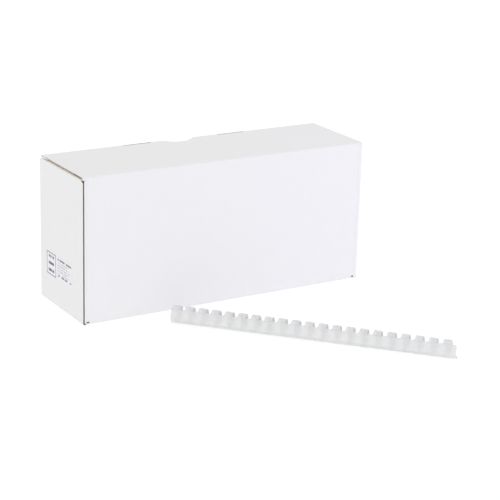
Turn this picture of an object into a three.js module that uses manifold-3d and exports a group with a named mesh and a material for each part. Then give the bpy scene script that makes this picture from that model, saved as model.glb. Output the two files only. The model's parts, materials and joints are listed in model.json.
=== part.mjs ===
// Corrugated mailing carton of plastic binding combs, with one comb taken out and laid in front.
//
// Frame: origin at the centre of the carton's underside, +X along the carton and its combs,
// -Y towards the hinged long side, +Z up. Lengths are in millimetres, angles in degrees.

import * as THREE from 'three';
import { mergeVertices } from 'three/addons/utils/BufferGeometryUtils.js';
import Module from 'manifold-3d';

// ---------------------------------------------------------------- driving dimensions

// Binding comb, a 21-ring comb for the long side of an A4 sheet.
const RING_COUNT = 21;
const RING_PITCH = 14.2875;
const COMB_DIAMETER = 19;
const COMB_WALL = 0.9;
const FINGER_WIDTH = 8;
const FINGER_TIP_WIDTH = 5;
const TUCK_CLEARANCE = 0.5;

// Angles round the comb, from the spine's middle side upwards and over the back.
const SPINE_LOW_ANGLE = -110;
const ROOT_ANGLE = 49;
const ROOT_RAIL_SWEEP = 8;
const TUCK_START_ANGLE = 180;
const TUCK_END_ANGLE = 243;
const FINGER_END_ANGLE = 290;
const ARC_STEP = 15;

// Carton, sized round its contents.
const BOARD = 3;
const PANEL_GAP = 0.3;
const COMB_COLUMNS = 5;
const COMB_ROWS = 7;
const COMB_GAP = 0.75;
const HEADROOM = 15;
const END_ROOM = 12.25;

// Lid and its tuck flap.
const THUMB_NOTCH_CENTRE_X = -8;
const THUMB_NOTCH_CHORD = 38;
const THUMB_NOTCH_DEPTH = 12.5;
const LOCK_SLIT_START = 42;
const LOCK_SLIT_LENGTH = 34;
const LOCK_SLIT_WIDTH = 2;
const TUCK_FLAP_DEPTH = 28;
const TUCK_FLAP_TILT = 15;
const TUCK_FLAP_CORNER_RADIUS = 12;
const TUCK_FLAP_END_CLEARANCE = 2;

// Corner flaps between the two walls of each end, and the tabs that lock the inner wall.
const CORNER_FLAP_REACH = 44;
const CORNER_FLAP_TAPER = 6;
const TAB_WIDTH = 26;
const TAB_SPACING = 52;
const TAB_CLEARANCE = 0.4;

// Printed paper label on the left end.
const LABEL_WIDTH = 64;
const LABEL_HEIGHT = 26;
const LABEL_THICKNESS = 0.3;
const LABEL_CORNER_RADIUS = 1.5;
const LABEL_CENTRE_Y = 6.3;
const LABEL_CENTRE_Z = 44.3;

// The comb that lies in front of the carton.
const LOOSE_COMB_X = 16.7;
const LOOSE_COMB_Y = -192.8;
const LOOSE_COMB_TURN = -47.1;

// ---------------------------------------------------------------- derived sizes

const RADIUS = COMB_DIAMETER / 2;
const COMB_LENGTH = RING_COUNT * RING_PITCH;
const COMB_PITCH = COMB_DIAMETER + COMB_GAP;
const CARTON_LENGTH = COMB_LENGTH + 2 * END_ROOM + 6 * BOARD + 4 * PANEL_GAP;
const CARTON_DEPTH = COMB_COLUMNS * COMB_PITCH + COMB_GAP + 2 * BOARD;
const CARTON_HEIGHT = COMB_ROWS * COMB_PITCH + HEADROOM + 2 * BOARD;

const HALF_LENGTH = CARTON_LENGTH / 2;
const HALF_DEPTH = CARTON_DEPTH / 2;
const FLOOR_TOP = BOARD + PANEL_GAP;
const UNDER_LID = CARTON_HEIGHT - BOARD - PANEL_GAP;
const UNDER_END_TOP = UNDER_LID - BOARD - PANEL_GAP;
const END_LAYER = BOARD + PANEL_GAP;
const INNER_FACE_X = HALF_LENGTH - 3 * BOARD - 2 * PANEL_GAP;
const INNER_FACE_Y = HALF_DEPTH - BOARD - PANEL_GAP;
const LID_DEPTH = CARTON_DEPTH - BOARD - PANEL_GAP;
const THUMB_NOTCH_RADIUS = (THUMB_NOTCH_CHORD ** 2 / 4 + THUMB_NOTCH_DEPTH ** 2) / (2 * THUMB_NOTCH_DEPTH);

const radians = THREE.MathUtils.degToRad;

// ---------------------------------------------------------------- materials

const whiteBoard = new THREE.MeshStandardMaterial({ color: 0xf1f1f4, roughness: 0.8, metalness: 0 });
const labelPaper = new THREE.MeshStandardMaterial({ color: 0xf6f6fb, roughness: 0.6, metalness: 0 });
const clearPlastic = new THREE.MeshStandardMaterial({ color: 0xd9dcdf, roughness: 0.3, metalness: 0 });

// ---------------------------------------------------------------- helpers

const wasm = await Module();
wasm.setup();

function toSolid(geometry) {
  const bare = geometry.clone();
  bare.deleteAttribute('normal');
  bare.deleteAttribute('uv');
  const welded = mergeVertices(bare);
  const vertProperties = new Float32Array(welded.attributes.position.array);
  const triVerts = new Uint32Array(welded.index.array);
  return new wasm.Manifold(new wasm.Mesh({ numProp: 3, vertProperties, triVerts }));
}

function toGeometry(solid) {
  const mesh = solid.getMesh();
  const geometry = new THREE.BufferGeometry();
  geometry.setAttribute('position', new THREE.BufferAttribute(mesh.vertProperties, 3));
  geometry.setIndex(new THREE.BufferAttribute(mesh.triVerts, 1));
  geometry.computeVertexNormals();
  return geometry;
}

function addPiece(parent, name, geometry, material) {
  const mesh = new THREE.Mesh(geometry, material);
  mesh.name = name;
  parent.add(mesh);
  return mesh;
}

function outline(points) {
  return new THREE.Shape(points.map(([x, y]) => new THREE.Vector2(x, y)));
}

// A sheet cut to an outline: the outline lies in XY and the thickness rises along +Z.
function cutSheet(shape, thickness) {
  return new THREE.ExtrudeGeometry(shape, { depth: thickness, bevelEnabled: false, curveSegments: 10 });
}

// A sheet stood up across the carton's length: outline x runs along Y and outline y along Z.
function standAcross(geometry) {
  return geometry.rotateZ(Math.PI / 2).rotateY(Math.PI / 2);
}

// Cuts the round thumb notch into an outline's upper edge, which is drawn from right to left.
function cutThumbNotch(shape, edge, bottom) {
  const centre = bottom + THUMB_NOTCH_RADIUS;
  const edgeAngle = Math.asin((centre - edge) / THUMB_NOTCH_RADIUS);
  shape.absarc(THUMB_NOTCH_CENTRE_X, centre, THUMB_NOTCH_RADIUS, -edgeAngle, edgeAngle - Math.PI, true);
}

function box(low, high) {
  const size = high.map((value, axis) => value - low[axis]);
  const geometry = new THREE.BoxGeometry(...size);
  return geometry.translate(...low.map((value, axis) => value + size[axis] / 2));
}

// ---------------------------------------------------------------- carton body

// The floor has two slots at each end for the tabs of the inner end walls.
function floorGeometry() {
  let floor = toSolid(box([-HALF_LENGTH, -HALF_DEPTH, 0], [HALF_LENGTH, HALF_DEPTH, BOARD]));
  const slotLength = TAB_WIDTH + 2 * TAB_CLEARANCE;
  const slotWidth = BOARD + 2 * TAB_CLEARANCE;
  for (const side of [-1, 1]) {
    for (const row of [-1, 1]) {
      const slot = new THREE.BoxGeometry(slotWidth, slotLength, 4 * BOARD);
      slot.translate(side * (INNER_FACE_X + BOARD / 2), (row * TAB_SPACING) / 2, 0);
      floor = floor.subtract(toSolid(slot));
    }
  }
  return toGeometry(floor);
}

// Rear wall: its top edge has its share of the thumb notch.
function rearWallGeometry() {
  const wallEnd = HALF_LENGTH - END_LAYER;
  const shape = new THREE.Shape();
  shape.moveTo(-wallEnd, FLOOR_TOP);
  shape.lineTo(wallEnd, FLOOR_TOP);
  shape.lineTo(wallEnd, UNDER_LID);
  cutThumbNotch(shape, UNDER_LID, CARTON_HEIGHT - THUMB_NOTCH_DEPTH);
  shape.lineTo(-wallEnd, UNDER_LID);
  return cutSheet(shape, BOARD).rotateX(Math.PI / 2).translate(0, HALF_DEPTH, 0);
}

// The long walls stop at the outer end walls, and the lid covers the top edge of the rear one.
function addLongWalls(carton) {
  const wallEnd = HALF_LENGTH - END_LAYER;
  const front = box([-wallEnd, -HALF_DEPTH, FLOOR_TOP], [wallEnd, BOARD - HALF_DEPTH, UNDER_LID]);
  addPiece(carton, 'front_wall', front, whiteBoard);
  addPiece(carton, 'rear_wall', rearWallGeometry(), whiteBoard);
}

// Inner end wall: it hangs from the rolled-over top and locks into the floor with two tabs.
function innerEndGeometry() {
  const foot = PANEL_GAP;
  const edges = [-1, 1].flatMap((row) => {
    const middle = (row * TAB_SPACING) / 2;
    return [
      [middle - TAB_WIDTH / 2, FLOOR_TOP],
      [middle - TAB_WIDTH / 2, foot],
      [middle + TAB_WIDTH / 2, foot],
      [middle + TAB_WIDTH / 2, FLOOR_TOP],
    ];
  });
  const shape = outline([
    [-INNER_FACE_Y, FLOOR_TOP],
    ...edges,
    [INNER_FACE_Y, FLOOR_TOP],
    [INNER_FACE_Y, UNDER_END_TOP],
    [-INNER_FACE_Y, UNDER_END_TOP],
  ]);
  return standAcross(cutSheet(shape, BOARD));
}

// Corner flap: it carries on from a long wall's end and tapers towards its free edge.
function cornerFlapGeometry() {
  const low = FLOOR_TOP;
  const high = UNDER_END_TOP;
  const shape = outline([
    [0, low],
    [CORNER_FLAP_REACH, low + CORNER_FLAP_TAPER],
    [CORNER_FLAP_REACH, high - CORNER_FLAP_TAPER],
    [0, high],
  ]);
  return standAcross(cutSheet(shape, BOARD));
}

// One end of the carton: outer wall, two corner flaps, inner wall and the strip that joins them on top.
function addEnd(carton, name, side) {
  const layerX = (layer) => side * (HALF_LENGTH - layer * END_LAYER - BOARD / 2);
  const place = (mesh, layer) => {
    mesh.position.x = layerX(layer) - BOARD / 2;
    return mesh;
  };

  const outer = box([0, -HALF_DEPTH, FLOOR_TOP], [BOARD, HALF_DEPTH, UNDER_LID]);
  place(addPiece(carton, `${name}_end_outer`, outer, whiteBoard), 0);

  const nearFlap = addPiece(carton, `${name}_front_corner_flap`, cornerFlapGeometry(), whiteBoard);
  place(nearFlap, 1).position.y = -INNER_FACE_Y;
  const farFlap = addPiece(carton, `${name}_rear_corner_flap`, cornerFlapGeometry(), whiteBoard);
  farFlap.rotation.z = Math.PI;
  place(farFlap, 1).position.y = INNER_FACE_Y;
  farFlap.position.x += BOARD;

  place(addPiece(carton, `${name}_end_inner`, innerEndGeometry(), whiteBoard), 2);

  const stripFrom = side * INNER_FACE_X;
  const stripTo = side * (HALF_LENGTH - END_LAYER);
  const strip = box(
    [Math.min(stripFrom, stripTo), -INNER_FACE_Y, UNDER_END_TOP + PANEL_GAP],
    [Math.max(stripFrom, stripTo), INNER_FACE_Y, UNDER_LID],
  );
  addPiece(carton, `${name}_end_top`, strip, whiteBoard);
}

function labelGeometry() {
  const x = LABEL_WIDTH / 2;
  const y = LABEL_HEIGHT / 2;
  const r = LABEL_CORNER_RADIUS;
  const shape = new THREE.Shape();
  shape.absarc(x - r, y - r, r, 0, Math.PI / 2, false);
  shape.absarc(r - x, y - r, r, Math.PI / 2, Math.PI, false);
  shape.absarc(r - x, r - y, r, Math.PI, 1.5 * Math.PI, false);
  shape.absarc(x - r, r - y, r, 1.5 * Math.PI, 2 * Math.PI, false);
  return standAcross(new THREE.ExtrudeGeometry(shape, {
    depth: LABEL_THICKNESS,
    bevelEnabled: false,
    curveSegments: 3,
  }));
}

// ---------------------------------------------------------------- lid and tuck flap

// Lid outline from its hinge (y = 0) to the crease, with the half-moon thumb notch between two slits.
function lidGeometry() {
  const crease = LID_DEPTH;
  const slitEnd = LOCK_SLIT_START + LOCK_SLIT_LENGTH;
  const slitFloor = crease - LOCK_SLIT_WIDTH;

  const shape = new THREE.Shape();
  shape.moveTo(-HALF_LENGTH, 0);
  shape.lineTo(HALF_LENGTH, 0);
  shape.lineTo(HALF_LENGTH, crease);
  shape.lineTo(slitEnd, crease);
  shape.lineTo(slitEnd, slitFloor);
  shape.lineTo(LOCK_SLIT_START, slitFloor);
  shape.lineTo(LOCK_SLIT_START, crease);
  cutThumbNotch(shape, crease, crease - THUMB_NOTCH_DEPTH);
  shape.lineTo(-LOCK_SLIT_START, crease);
  shape.lineTo(-LOCK_SLIT_START, slitFloor);
  shape.lineTo(-slitEnd, slitFloor);
  shape.lineTo(-slitEnd, crease);
  shape.lineTo(-HALF_LENGTH, crease);
  return cutSheet(shape, BOARD).translate(0, 0, -BOARD);
}

// Tuck flap hanging from the crease: y = 0 is the crease line and the flap reaches down -Z,
// with its outer face on y = 0. It starts low enough for its tilted edge to clear the lid, and the
// round thumb notch runs on into it.
function tuckFlapGeometry() {
  const tilt = radians(TUCK_FLAP_TILT);
  const top = -(BOARD + PANEL_GAP + BOARD * Math.sin(tilt)) / Math.cos(tilt);
  const x = INNER_FACE_X - TUCK_FLAP_END_CLEARANCE;
  const r = TUCK_FLAP_CORNER_RADIUS;
  const shape = new THREE.Shape();
  shape.moveTo(x, top);
  cutThumbNotch(shape, top, -THUMB_NOTCH_DEPTH);
  shape.lineTo(-x, top);
  shape.absarc(r - x, r - TUCK_FLAP_DEPTH, r, Math.PI, 1.5 * Math.PI, false);
  shape.absarc(x - r, r - TUCK_FLAP_DEPTH, r, 1.5 * Math.PI, 2 * Math.PI, false);
  return cutSheet(shape, BOARD).rotateX(Math.PI / 2);
}

function addLid(carton) {
  const lid = new THREE.Group();
  lid.position.set(0, -HALF_DEPTH, CARTON_HEIGHT);
  carton.add(lid);
  addPiece(lid, 'lid', lidGeometry(), whiteBoard);

  const crease = new THREE.Group();
  crease.position.y = LID_DEPTH;
  crease.rotation.x = -radians(TUCK_FLAP_TILT);
  lid.add(crease);
  addPiece(crease, 'tuck_flap', tuckFlapGeometry(), whiteBoard);
}

// ---------------------------------------------------------------- binding combs

// Outer radius of the rolled plastic: round, then pulled in so that the finger ends tuck inside.
function rollRadius(angle) {
  const tucked = RADIUS - COMB_WALL - TUCK_CLEARANCE;
  const along = THREE.MathUtils.smoothstep(angle, TUCK_START_ANGLE, TUCK_END_ANGLE);
  return THREE.MathUtils.lerp(RADIUS, tucked, along);
}

// Section of the plastic from one angle to another, with the comb's axis at the origin.
function rollSection(from, to) {
  const steps = Math.ceil((to - from) / ARC_STEP);
  const angles = Array.from({ length: steps + 1 }, (_, i) => from + ((to - from) * i) / steps);
  const at = (angle, radius) => [
    radius * Math.cos(radians(angle)),
    radius * Math.sin(radians(angle)),
  ];
  const outside = angles.map((angle) => at(angle, rollRadius(angle)));
  const inside = angles.map((angle) => at(angle, rollRadius(angle) - COMB_WALL));
  return outline([...outside, ...inside.reverse()]);
}

// A length of that section, centred, with the comb's axis one radius up and along X,
// and the spine's middle towards -Y.
function rolledPlastic(from, to, length) {
  const geometry = cutSheet(rollSection(from, to), length).translate(0, 0, -length / 2);
  const spineSide = new THREE.Vector3(0, -1, 0);
  const up = new THREE.Vector3(0, 0, 1);
  const along = new THREE.Vector3(-1, 0, 0);
  geometry.applyMatrix4(new THREE.Matrix4().makeBasis(spineSide, up, along));
  return geometry.translate(0, 0, RADIUS);
}

// One finger, which narrows over its tucked end.
function fingerGeometry() {
  const geometry = rolledPlastic(ROOT_ANGLE, FINGER_END_ANGLE, FINGER_WIDTH);
  const position = geometry.attributes.position;
  const tipShare = FINGER_TIP_WIDTH / FINGER_WIDTH;
  for (let i = 0; i < position.count; i += 1) {
    const angle = Math.atan2(position.getZ(i) - RADIUS, -position.getY(i));
    const turned = THREE.MathUtils.euclideanModulo(THREE.MathUtils.radToDeg(angle), 360);
    const along = THREE.MathUtils.smoothstep(turned, TUCK_START_ANGLE, FINGER_END_ANGLE);
    position.setX(i, position.getX(i) * THREE.MathUtils.lerp(1, tipShare, along));
  }
  return geometry;
}

// All fingers of one comb, joined along their roots by the spine's upper margin.
function fingersGeometry() {
  const rail = rolledPlastic(ROOT_ANGLE, ROOT_ANGLE + ROOT_RAIL_SWEEP, COMB_LENGTH);
  let solid = toSolid(rail);
  for (let ring = 0; ring < RING_COUNT; ring += 1) {
    const x = (ring - (RING_COUNT - 1) / 2) * RING_PITCH;
    solid = solid.add(toSolid(fingerGeometry().translate(x, 0, 0)));
  }
  return toGeometry(solid);
}

function addLooseComb(parent) {
  const comb = new THREE.Group();
  comb.position.set(LOOSE_COMB_X, LOOSE_COMB_Y, 0);
  comb.rotation.z = radians(LOOSE_COMB_TURN);
  parent.add(comb);
  const flexGap = THREE.MathUtils.radToDeg(PANEL_GAP / (RADIUS - COMB_WALL));
  const spine = rolledPlastic(SPINE_LOW_ANGLE, ROOT_ANGLE - flexGap, COMB_LENGTH);
  addPiece(comb, 'loose_comb_spine', spine, clearPlastic);
  addPiece(comb, 'loose_comb_fingers', fingersGeometry(), clearPlastic);
}

// Combs in the carton, in rows from the floor up. The top rear place is the empty one.
function addPackedCombs(carton) {
  const geometry = rolledPlastic(SPINE_LOW_ANGLE, FINGER_END_ANGLE, COMB_LENGTH);
  for (let row = 0; row < COMB_ROWS; row += 1) {
    for (let column = 0; column < COMB_COLUMNS; column += 1) {
      const empty = row === COMB_ROWS - 1 && column === COMB_COLUMNS - 1;
      if (!empty) {
        const comb = addPiece(carton, `packed_comb_${row + 1}_${column + 1}`, geometry, clearPlastic);
        comb.position.y = BOARD - HALF_DEPTH + COMB_GAP + RADIUS + column * COMB_PITCH;
        comb.position.z = BOARD + COMB_GAP + row * COMB_PITCH;
      }
    }
  }
}

// ---------------------------------------------------------------- assembly

const group = new THREE.Group();
const carton = new THREE.Group();
group.add(carton);

addPiece(carton, 'bottom_panel', floorGeometry(), whiteBoard);
addLongWalls(carton);
addEnd(carton, 'left', -1);
addEnd(carton, 'right', 1);
const label = addPiece(carton, 'label', labelGeometry(), labelPaper);
label.position.set(-HALF_LENGTH - PANEL_GAP - LABEL_THICKNESS, LABEL_CENTRE_Y, LABEL_CENTRE_Z);
addPackedCombs(carton);
addLid(carton);
addLooseComb(group);

export default group;
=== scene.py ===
import json
import math

import bmesh
import bpy
import numpy as np
from mathutils import Matrix, Vector


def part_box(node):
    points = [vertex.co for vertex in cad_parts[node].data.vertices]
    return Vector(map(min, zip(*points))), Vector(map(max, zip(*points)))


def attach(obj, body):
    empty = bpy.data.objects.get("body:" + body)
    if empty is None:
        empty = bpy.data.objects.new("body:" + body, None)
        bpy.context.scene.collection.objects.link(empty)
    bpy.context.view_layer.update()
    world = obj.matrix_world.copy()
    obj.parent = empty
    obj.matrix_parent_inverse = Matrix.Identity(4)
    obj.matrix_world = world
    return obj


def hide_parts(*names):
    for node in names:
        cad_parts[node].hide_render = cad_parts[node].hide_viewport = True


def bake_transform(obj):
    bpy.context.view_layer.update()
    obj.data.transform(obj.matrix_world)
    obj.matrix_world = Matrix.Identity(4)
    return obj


bl_info = {
    "name": "Carton of binding combs",
    "version": (1, 0, 0),
    "blender": (4, 5, 0),
    "location": "View3D > Sidebar > Comb carton",
    "description": "Builds a folded corrugated carton and its plastic binding combs round the CAD frame",
    "category": "Object",
}

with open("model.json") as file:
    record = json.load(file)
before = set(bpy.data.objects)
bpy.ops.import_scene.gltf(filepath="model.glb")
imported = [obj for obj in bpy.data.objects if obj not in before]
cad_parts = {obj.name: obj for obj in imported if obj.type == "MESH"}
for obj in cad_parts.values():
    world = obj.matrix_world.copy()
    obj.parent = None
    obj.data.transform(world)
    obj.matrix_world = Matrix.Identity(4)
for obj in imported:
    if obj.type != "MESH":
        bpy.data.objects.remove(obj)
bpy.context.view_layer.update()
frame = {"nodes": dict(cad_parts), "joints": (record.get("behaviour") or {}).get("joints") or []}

# Places that come from the frame, in metres.
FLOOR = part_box("bottom_panel")
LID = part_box("lid")
FRONT_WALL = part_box("front_wall")
INNER_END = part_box("right_end_inner")
CORNER_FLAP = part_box("right_front_corner_flap")
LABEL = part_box("label")
HALF_LENGTH = FLOOR[1].x
HALF_DEPTH = FLOOR[1].y
BOARD = FLOOR[1].z - FLOOR[0].z
HEIGHT = LID[1].z
CREASE_Y = LID[1].y
WALL_END = FRONT_WALL[1].x
WALL_TOP = FRONT_WALL[1].z
FLOOR_TOP = FRONT_WALL[0].z
INNER_X = INNER_END[0].x
INNER_Y = INNER_END[1].y

# Folding and cutting of the board.
FOLD_RADIUS = 0.0018
CREASE_MARGIN = 0.002
CRUSHED = 0.5
TUCK_FOLD = 105.0
TUCK_REACH = 0.028
TUCK_CORNER = 0.012
TUCK_END_GAP = 0.002
NOTCH_X = -0.008
NOTCH_CHORD = 0.038
NOTCH_DEPTH = 0.0125
NOTCH_RADIUS = (NOTCH_CHORD ** 2 / 4 + NOTCH_DEPTH ** 2) / (2 * NOTCH_DEPTH)
SLIT_START = 0.042
SLIT_LENGTH = 0.034
SLIT_WIDTH = 0.0024
TAB_WIDTH = 0.026
TAB_SPACING = 0.052
SLOT_PLAY = 0.0004
FLAP_TAPER = 0.006
EDGE_RECESS = 0.006
LIP_GAPS = {"left": 0.0014, "right": 0.0}
LIP_THICKNESS = 0.0003
LIP_LENGTH = 0.018
LIP_DROPS = (0.0014, 0.0028, 0.0006)
CORNER_NICK = 0.0007
SLIT_MARGIN = 0.0003
CUT_PAST = 0.01


# Print on the label, in metres from its left and bottom edges: left, right, bottom and top.
FRAME_OUTER = (0.0016, 0.0244, 0.0005, 0.0256)
FRAME_INNER = (0.0026, 0.0234, 0.0014, 0.0247)
DASH = 0.0016
BAR_DASH = 0.0013
BAR_SPAN = (0.0060, 0.0200)
BAR_LOWS = (0.0042, 0.0121, 0.0197)
BAR_HEIGHT = 0.0030
RULE_ROWS = 7
RULE_LEFT = 0.0286
RULE_RIGHT = 0.060
RULE_STEP = 0.003
RULE_HEIGHT = 0.0011
RULE_STRENGTH = 0.5
BOLD_RIGHT = 0.0622
BOLD_HEIGHT = 0.0019
BOLD_STRENGTH = 0.95

# Light.
WHITE = (1.0, 1.0, 1.0, 1.0)
SKY_STRENGTH = 0.96
FLOOR_GLOW = 0.70
FLOOR_GREYS = (0.34, 0.36)
SOFTBOX = {
    "place": (0.8, -0.8, 0.4), "aim": (0.0, -0.05, 0.06), "size": 0.7, "power": 1.9,
    "colour": (0.60, 0.52, 1.0)}


# Settings.

class BoardSettings(bpy.types.PropertyGroup):
    """Corrugated board and its papers"""

    flute_pitch: bpy.props.FloatProperty(
        name="Flute pitch", description="Distance from one flute to the next",
        default=0.0052, unit="LENGTH")
    liner: bpy.props.FloatProperty(
        name="Liner", description="Thickness of the two flat papers",
        default=0.00044, unit="LENGTH")
    fluting: bpy.props.FloatProperty(
        name="Fluting", description="Thickness of the waved paper between them",
        default=0.00034, unit="LENGTH")
    white: bpy.props.FloatVectorProperty(
        name="White liner", description="Colour of the coated outer paper",
        default=(0.82, 0.82, 0.82), subtype="COLOR")
    kraft: bpy.props.FloatVectorProperty(
        name="Kraft paper", description="Colour of the bare papers",
        default=(0.72, 0.65, 0.57), subtype="COLOR")


class CombSettings(bpy.types.PropertyGroup):
    """Plastic binding comb"""

    rings: bpy.props.IntProperty(
        name="Rings", description="Number of rings on one comb", default=21)
    pitch: bpy.props.FloatProperty(
        name="Ring pitch", description="Distance from one ring to the next",
        default=0.0142875, unit="LENGTH")
    diameter: bpy.props.FloatProperty(
        name="Diameter", description="Outside diameter of the rolled comb",
        default=0.019, unit="LENGTH")
    wall: bpy.props.FloatProperty(
        name="Wall", description="Thickness of the plastic", default=0.0009, unit="LENGTH")
    finger_width: bpy.props.FloatProperty(
        name="Ring width", description="Width of a ring over its straight part",
        default=0.008, unit="LENGTH")
    tip_width: bpy.props.FloatProperty(
        name="Tip width", description="Width of a ring just before its round tip",
        default=0.0052, unit="LENGTH")
    spine_shift: bpy.props.FloatProperty(
        name="Spine shift", description="How far the spine's cut ends lie past even margins",
        default=0.0032, unit="LENGTH")
    tint: bpy.props.FloatVectorProperty(
        name="Tint", description="Colour of the milky clear plastic",
        default=(0.82, 0.825, 0.825), subtype="COLOR")


class LabelSettings(bpy.types.PropertyGroup):
    """Paper label on the left end"""

    paper: bpy.props.FloatVectorProperty(
        name="Paper", description="Colour of the label paper",
        default=(0.82, 0.82, 0.845), subtype="COLOR")
    ink: bpy.props.FloatVectorProperty(
        name="Ink", description="Colour of the printed rules and bars",
        default=(0.08, 0.08, 0.11), subtype="COLOR")
    thickness: bpy.props.FloatProperty(
        name="Thickness", description="Thickness of the label", default=0.00012, unit="LENGTH")
    corner: bpy.props.FloatProperty(
        name="Corner radius", description="Radius of the label's corners",
        default=0.0015, unit="LENGTH")


class StageSettings(bpy.types.PropertyGroup):
    """Floor, light and camera"""

    floor_size: bpy.props.FloatProperty(
        name="Floor size", description="Length of the floor's sides", default=40.0, unit="LENGTH")
    lens: bpy.props.FloatProperty(
        name="Lens", description="Focal length of the camera in millimetres", default=117.9)
    turn: bpy.props.FloatProperty(
        name="Turn", description="Compass turn of the camera's view, from +Y towards +X",
        default=math.radians(31.57), subtype="ANGLE")
    dip: bpy.props.FloatProperty(
        name="Dip", description="How far the camera looks down",
        default=math.radians(18.02), subtype="ANGLE")
    roll: bpy.props.FloatProperty(
        name="Roll", description="Lean of the camera about its view",
        default=math.radians(1.67), subtype="ANGLE")
    camera_place: bpy.props.FloatVectorProperty(
        name="Camera place", description="Where the camera stands",
        default=(-0.8599, -1.4988, 0.606), subtype="TRANSLATION")


def linked(name, data):
    """A new object that holds this data, in the scene."""
    holder = bpy.data.objects.new(name, data)
    bpy.context.scene.collection.objects.link(holder)
    return holder


def eased(share):
    """A smooth step from 0 to 1, for one number or an array."""
    t = np.clip(share, 0.0, 1.0)
    return t * t * (3.0 - 2.0 * t)


# Node wiring.

class Wiring:
    """Adds nodes to a tree and feeds their sockets from values or from other sockets."""

    def __init__(self, tree):
        self.tree = tree

    def add(self, kind, inputs=None, **settings):
        node = self.tree.nodes.new(kind)
        for name, value in settings.items():
            setattr(node, name, value)
        for key, value in (inputs or {}).items():
            self.feed(node.inputs[key], value)
        return node

    def feed(self, socket, value):
        if isinstance(value, bpy.types.NodeSocket):
            self.tree.links.new(value, socket)
        else:
            socket.default_value = value

    def math(self, operation, *values):
        return self.add("ShaderNodeMath", dict(enumerate(values)), operation=operation).outputs[0]


class ShapeTree(Wiring):
    """A geometry node tree with named inputs and one mesh output."""

    def __init__(self, name, inputs):
        super().__init__(bpy.data.node_groups.new(name, "GeometryNodeTree"))
        self.sockets = {}
        for label, kind in inputs.items():
            self.sockets[label] = self.tree.interface.new_socket(
                name=label, in_out="INPUT", socket_type=kind)
        self.tree.interface.new_socket(
            name="Mesh", in_out="OUTPUT", socket_type="NodeSocketGeometry")
        self.given = self.tree.nodes.new("NodeGroupInput").outputs

    def vector(self, x=0.0, y=0.0, z=0.0):
        return self.add("ShaderNodeCombineXYZ", {"X": x, "Y": y, "Z": z}).outputs[0]

    def finish(self, mesh, material):
        whole = self.add("GeometryNodeRealizeInstances", {"Geometry": mesh})
        finished = self.add(
            "GeometryNodeSetMaterial", {"Geometry": whole.outputs[0], "Material": material})
        self.add("NodeGroupOutput", {"Mesh": finished.outputs[0]})

    def make(self, name, values):
        """The tree's plain mesh for these input values."""
        holder = linked(name, bpy.data.meshes.new(name + "_seed"))
        modifier = holder.modifiers.new("Shape", "NODES")
        modifier.node_group = self.tree
        for label, value in values.items():
            modifier[self.sockets[label].identifier] = value
        depsgraph = bpy.context.evaluated_depsgraph_get()
        mesh = bpy.data.meshes.new_from_object(
            holder.evaluated_get(depsgraph), depsgraph=depsgraph)
        mesh.name = name
        bpy.data.objects.remove(holder)
        worn = [material for material in mesh.materials if material is not None]
        mesh.materials.clear()
        mesh.materials.append(worn[0])
        mesh.polygons.foreach_set("material_index", [0] * len(mesh.polygons))
        return mesh


# Materials.

class Surface(Wiring):
    """A material with a Principled shader, whose uniform sockets are given by name."""

    def __init__(self, name, **uniform):
        self.material = bpy.data.materials.new(name)
        self.material.use_nodes = True
        super().__init__(self.material.node_tree)
        self.shader = self.tree.nodes["Principled BSDF"]
        for label, value in uniform.items():
            self.shader.inputs[label.replace("_", " ")].default_value = value

    def attribute(self, name):
        return self.add("ShaderNodeAttribute", attribute_name=name).outputs["Vector"]

    def place(self):
        return self.add("ShaderNodeTexCoord").outputs["Object"]

    def stretched(self, vector, scale):
        return self.add("ShaderNodeMapping", {"Vector": vector, "Scale": scale}).outputs[0]

    def noise(self, vector, scale, detail=3.0):
        node = self.add(
            "ShaderNodeTexNoise", {"Vector": vector, "Scale": scale, "Detail": detail})
        return node.outputs["Fac"]

    def spread(self, value, low=0.3, high=0.7, new_low=0.0, new_high=1.0):
        node = self.add("ShaderNodeMapRange", {
            "Value": value, "From Min": low, "From Max": high,
            "To Min": new_low, "To Max": new_high})
        return node.outputs[0]

    def blended(self, factor, first, second):
        node = self.add("ShaderNodeMix", data_type="RGBA")
        self.feed(node.inputs["Factor"], factor)
        self.feed(node.inputs[6], first)
        self.feed(node.inputs[7], second)
        return node.outputs[2]

    def colour(self, value):
        self.feed(self.shader.inputs["Base Color"], value)

    def bumps(self, height, distance, strength=1.0):
        node = self.add(
            "ShaderNodeBump", {"Height": height, "Distance": distance, "Strength": strength})
        self.feed(self.shader.inputs["Normal"], node.outputs[0])


def tone(colour, factor):
    return tuple(min(1.0, c * factor) for c in colour) + (1.0,)


def white_liner(settings):
    """Coated white paper: faint mottling, paper grain and the flutes' washboard."""
    surface = Surface("white_liner", IOR=1.42)
    sheet = surface.attribute("sheet")
    mottle = surface.noise(sheet, 55.0, 4.0)
    grain = surface.noise(surface.stretched(sheet, (0.35, 1.0, 1.0)), 2600.0, 2.0)
    specks = surface.spread(surface.noise(sheet, 900.0, 1.0), 0.74, 0.80)
    base = surface.blended(
        surface.spread(mottle), tone(settings.white, 0.993), tone(settings.white, 1.005))
    base = surface.blended(
        surface.math("MULTIPLY", specks, 0.18), base, tone(settings.white, 0.78))
    surface.colour(base)
    across = surface.add("ShaderNodeSeparateXYZ", {"Vector": sheet}).outputs["Y"]
    ridges = surface.math(
        "SINE", surface.math("MULTIPLY", across, 2.0 * math.pi / settings.flute_pitch))
    relief = surface.math("ADD", surface.math("MULTIPLY", ridges, 0.3), grain)
    surface.bumps(relief, 0.00003, 0.6)
    rough = surface.spread(mottle, 0.3, 0.7, 0.56, 0.68)
    surface.feed(surface.shader.inputs["Roughness"], rough)
    return surface.material


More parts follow.
